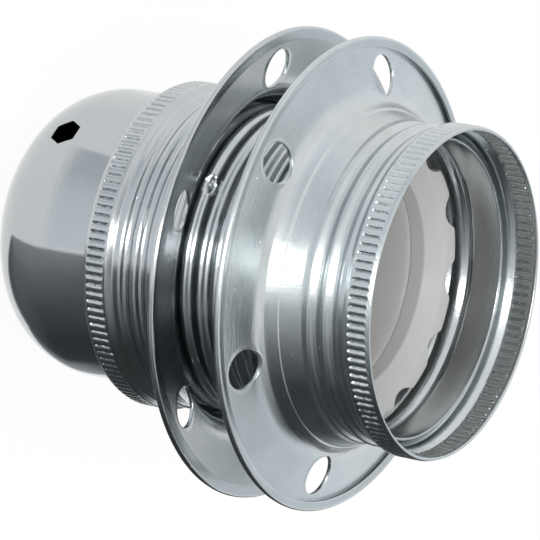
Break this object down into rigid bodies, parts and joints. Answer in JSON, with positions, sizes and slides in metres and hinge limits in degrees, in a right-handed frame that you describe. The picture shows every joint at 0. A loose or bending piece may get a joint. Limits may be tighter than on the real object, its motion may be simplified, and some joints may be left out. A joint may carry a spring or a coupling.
{
  "type": "lamp holder",
  "caption": "Screw lamp holder of zinc-plated sheet steel with a domed cap, threaded jacket, paired flanged shade rings and a scalloped porcelain collar round the lamp's screw shell.",
  "frame": {"origin": "centre of the entry bush's outer face, on which the holder stands", "axes": "+Z along the holder's axis towards the lamp; the punched cap hole and the grub screw face -Y"},
  "size_m": [0.06, 0.06, 0.0627],
  "materials": {
    "zinc_steel": "bright zinc plating on drawn sheet steel",
    "screw_steel": "plated screws",
    "brass": "satin",
    "porcelain": "glazed white porcelain, opaque"
  },
  "bodies": {
    "holder": {"cap": "zinc_steel", "entry_bush": "zinc_steel", "bush_nut": "zinc_steel", "grub_screw": "screw_steel", "earth_tag": "zinc_steel", "earth_screw": "brass", "porcelain_insert": "porcelain", "screw_shell": "brass", "shell_screw_1": "screw_steel", "shell_screw_2": "screw_steel", "centre_contact": "brass", "contact_screw": "screw_steel", "neutral_terminal": "brass", "neutral_wire_screw": "screw_steel", "line_terminal": "brass", "line_wire_screw": "screw_steel"},
    "jacket_body": {"jacket": "zinc_steel"},
    "collar_body": {"porcelain_collar": "porcelain"},
    "front_ring_body": {"front_shade_ring": "zinc_steel"},
    "rear_ring_body": {"rear_shade_ring": "zinc_steel"}
  },
  "joints": [
    {"name": "jacket_turn", "type": "hinge", "parent": "holder", "child": "jacket_body", "pos_m": [0, 0, 0.028], "axis": [0, 0, 1], "range_deg": [0, 720]},
    {"name": "collar_turn", "type": "hinge", "parent": "jacket_body", "child": "collar_body", "pos_m": [0, 0, 0.0489], "axis": [0, 0, 1], "range_deg": [0, 720]},
    {"name": "front_ring_turn", "type": "hinge", "parent": "jacket_body", "child": "front_ring_body", "pos_m": [0, 0, 0.0558], "axis": [0, 0, 1], "range_deg": [-1310, 360]},
    {"name": "rear_ring_turn", "type": "hinge", "parent": "jacket_body", "child": "rear_ring_body", "pos_m": [0, 0, 0.0282], "axis": [0, 0, 1], "range_deg": [0, 1310]}
  ]
}
